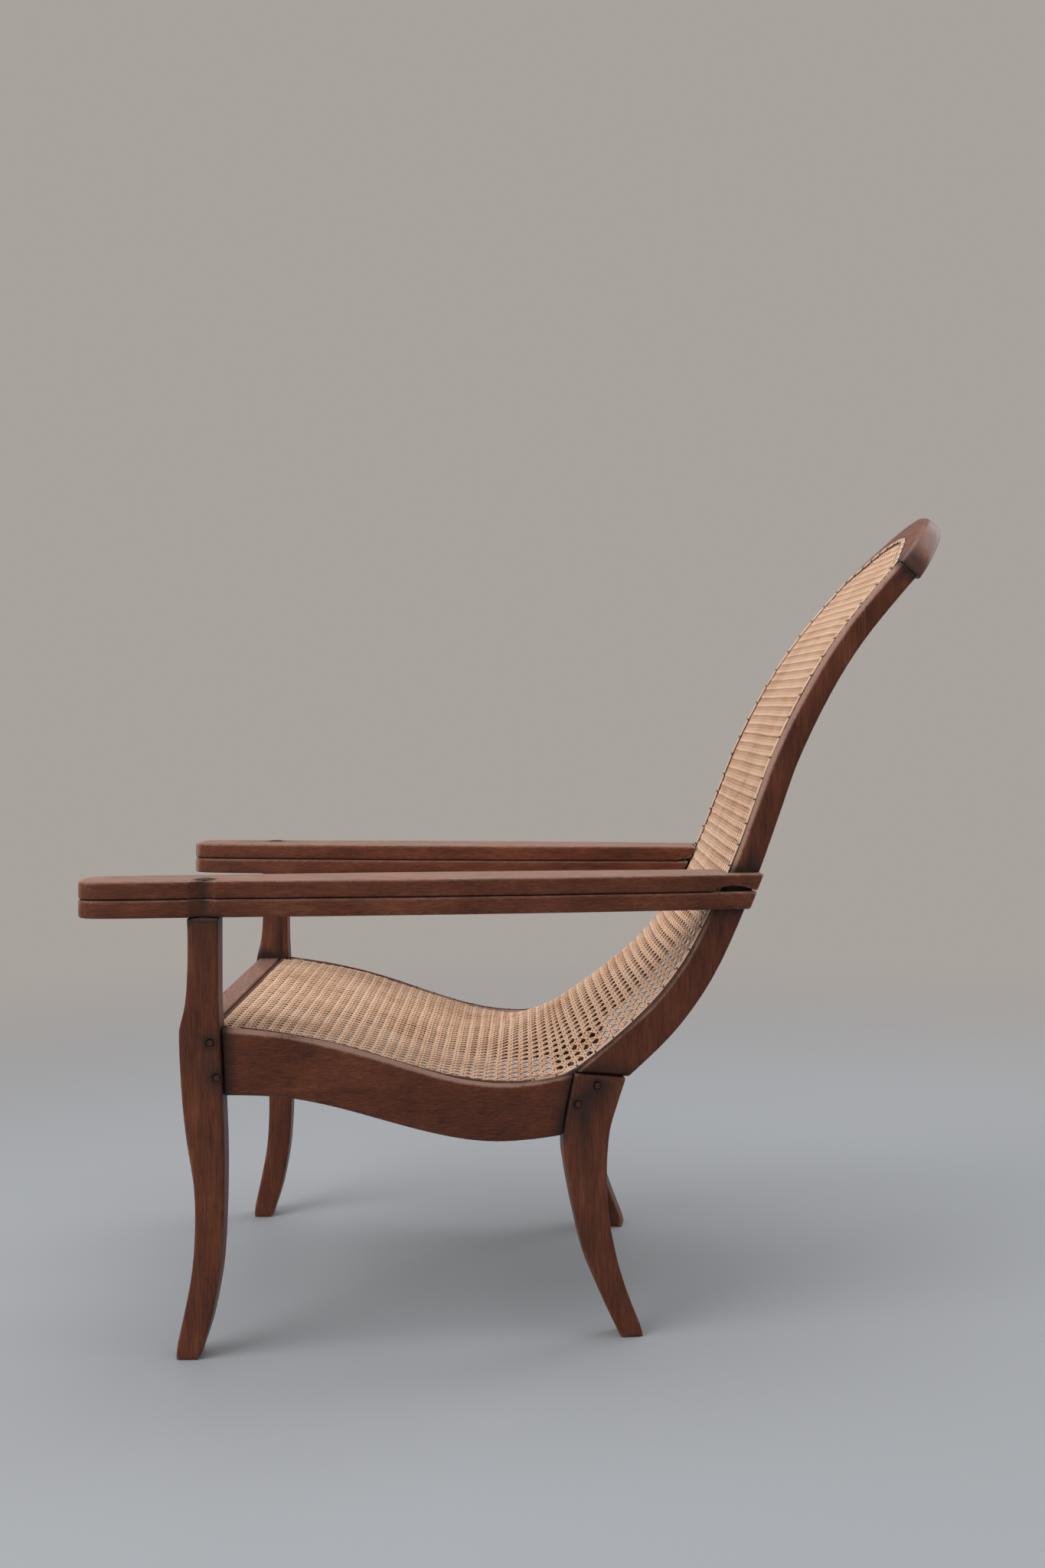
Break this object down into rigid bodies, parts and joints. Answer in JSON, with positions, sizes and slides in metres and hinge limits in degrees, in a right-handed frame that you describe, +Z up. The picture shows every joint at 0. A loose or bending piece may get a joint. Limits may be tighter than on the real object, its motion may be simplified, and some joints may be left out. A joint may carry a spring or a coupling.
{
  "type": "planters chair",
  "caption": "Low reclining lounge chair with a woven cane sling, an arched crest, long flat arms, and a leg rest under each arm that swings out to the front.",
  "frame": {"origin": "centre of the chair's bounding box, on the floor", "axes": "+X to the sitter's left, +Y to the back, +Z up; the chair faces -Y"},
  "size_m": [0.6619, 1.1231, 1.0585],
  "materials": {
    "frame_wood": "satin",
    "arm_wood": "satin, worn",
    "peg_wood": "matte",
    "cane": "woven, matte",
    "binder_cane": "satin"
  },
  "bodies": {
    "frame": {"left_front_leg": "frame_wood", "left_front_peg_1": "peg_wood", "left_front_peg_2": "peg_wood", "left_rail_peg": "peg_wood", "left_rear_leg": "frame_wood", "left_side_rail": "frame_wood", "left_back_stile": "frame_wood", "left_rear_peg_1": "peg_wood", "left_rear_peg_2": "peg_wood", "left_arm": "arm_wood", "left_arm_peg": "peg_wood", "left_crest_peg": "peg_wood", "cane_binder_left": "binder_cane", "right_front_leg": "frame_wood", "right_front_peg_1": "peg_wood", "right_front_peg_2": "peg_wood", "right_rail_peg": "peg_wood", "right_rear_leg": "frame_wood", "right_side_rail": "frame_wood", "right_back_stile": "frame_wood", "right_rear_peg_1": "peg_wood", "right_rear_peg_2": "peg_wood", "right_arm": "arm_wood", "right_arm_peg": "peg_wood", "right_crest_peg": "peg_wood", "cane_binder_right": "binder_cane", "crest_rail": "frame_wood", "front_seat_rail": "frame_wood", "rear_cross_rail": "frame_wood", "cane_panel": "cane", "cane_binder_front": "binder_cane", "cane_binder_crest": "binder_cane"},
    "left_rest": {"left_leg_rest": "arm_wood"},
    "right_rest": {"right_leg_rest": "arm_wood"}
  },
  "joints": [
    {"name": "left_rest_swing", "type": "hinge", "parent": "frame", "child": "left_rest", "pos_m": [0.29936, -0.40432, 0.549], "axis": [0, 0, -1], "range_deg": [0, 180]},
    {"name": "right_rest_swing", "type": "hinge", "parent": "frame", "child": "right_rest", "pos_m": [-0.30364, -0.40432, 0.549], "axis": [0, 0, 1], "range_deg": [0, 180]}
  ]
}
